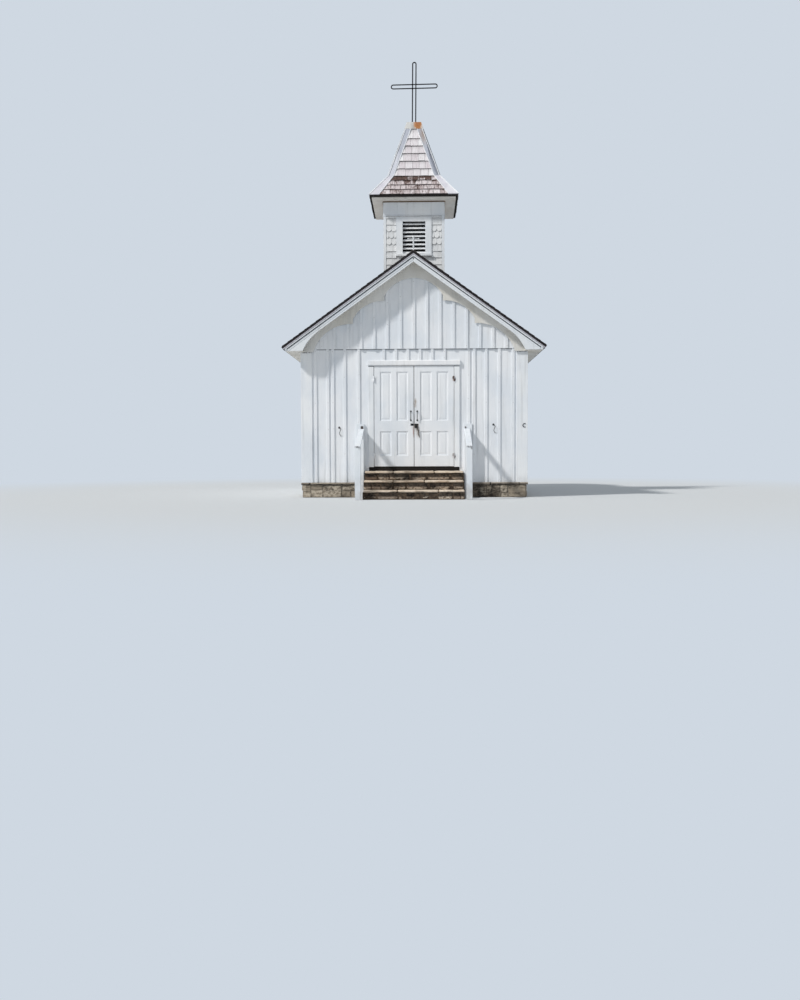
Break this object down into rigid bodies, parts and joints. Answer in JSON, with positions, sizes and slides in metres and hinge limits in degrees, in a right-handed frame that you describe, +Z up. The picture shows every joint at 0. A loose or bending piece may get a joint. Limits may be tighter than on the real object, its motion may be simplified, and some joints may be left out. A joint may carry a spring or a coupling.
{
  "type": "small chapel",
  "caption": "Small board-and-batten chapel with a louvred belfry, a flared spire and an outline cross; its double door swings out over stone steps with handrails.",
  "frame": {"origin": "centre of the outline seen from above, roof overhangs and handrails included, at ground level", "axes": "+X to the right seen from the front, the front with its door faces -Y, +Z up"},
  "size_m": [5.31, 7.3, 9.3493],
  "materials": {
    "rubble_stone": "rough split rubble, grey-brown, dark joints",
    "dressed_stone": "light worn slabs with rough edges",
    "floor_boards": "plain worn boards",
    "siding": "white painted boards, matt, slightly worn",
    "battens": "white painted battens, matt",
    "trim": "white painted boards, matt",
    "frieze": "off-white painted boards, matt",
    "sill": "dark weathered timber",
    "doors": "white painted panelled doors, satin, rust-stained at the lock",
    "hinge_paint": "white painted iron hinges with rust marks",
    "door_iron": "black painted iron, the hinge halves painted white",
    "handrail_paint": "white painted timber, matt",
    "roof_shingles": "dark weathered shingles",
    "belfry_shingles": "white painted shingles, cut square and round",
    "flare_shingles": "brown weathered shingles with worn white paint",
    "spire_shingles": "white painted shingles, worn",
    "hip_paint": "grey-white painted boards",
    "cap_metal": "pale painted sheet with a rust stain",
    "cross_iron": "black painted iron rod"
  },
  "bodies": {
    "building": {"foundation_ends": "rubble_stone", "foundation_sides": "rubble_stone", "foundation_ledge": "dressed_stone", "floor": "floor_boards", "front_wall_left": "siding", "front_wall_right": "siding", "front_wall_over_door": "siding", "front_gable": "siding", "back_wall": "siding", "back_gable": "siding", "left_wall": "siding", "right_wall": "siding", "front_battens": "battens", "back_battens": "battens", "side_battens": "battens", "corner_boards": "trim", "door_casing": "trim", "door_cap": "trim", "door_sill": "sill", "jamb_hinges": "hinge_paint", "step_1": "rubble_stone", "step_2": "rubble_stone", "step_3": "rubble_stone", "step_slabs": "dressed_stone", "handrails": "handrail_paint", "handrail_posts": "handrail_paint", "roof_left": "roof_shingles", "roof_right": "roof_shingles", "eave_boxes": "trim", "bargeboards": "trim", "gable_friezes": "frieze", "belfry_front": "belfry_shingles", "belfry_back": "belfry_shingles", "belfry_sides": "belfry_shingles", "belfry_trim": "trim", "louvre_slats": "trim", "louvre_frames": "trim", "belfry_soffit": "trim", "spire_flare": "flare_shingles", "spire": "spire_shingles", "hip_boards": "hip_paint", "spire_cap": "cap_metal", "cross": "cross_iron", "ridge_finial": "trim"},
    "left_leaf": {"left_door": "doors", "left_door_fittings": "door_iron"},
    "right_leaf": {"right_door": "doors", "right_door_fittings": "door_iron", "door_lock": "door_iron"}
  },
  "joints": [
    {"name": "left_door_swing", "type": "hinge", "parent": "building", "child": "left_leaf", "pos_m": [-0.816, -2.542, 1.63], "axis": [0, 0, -1], "range_deg": [0, 90]},
    {"name": "right_door_swing", "type": "hinge", "parent": "building", "child": "right_leaf", "pos_m": [0.816, -2.542, 1.63], "axis": [0, 0, 1], "range_deg": [0, 90]}
  ]
}
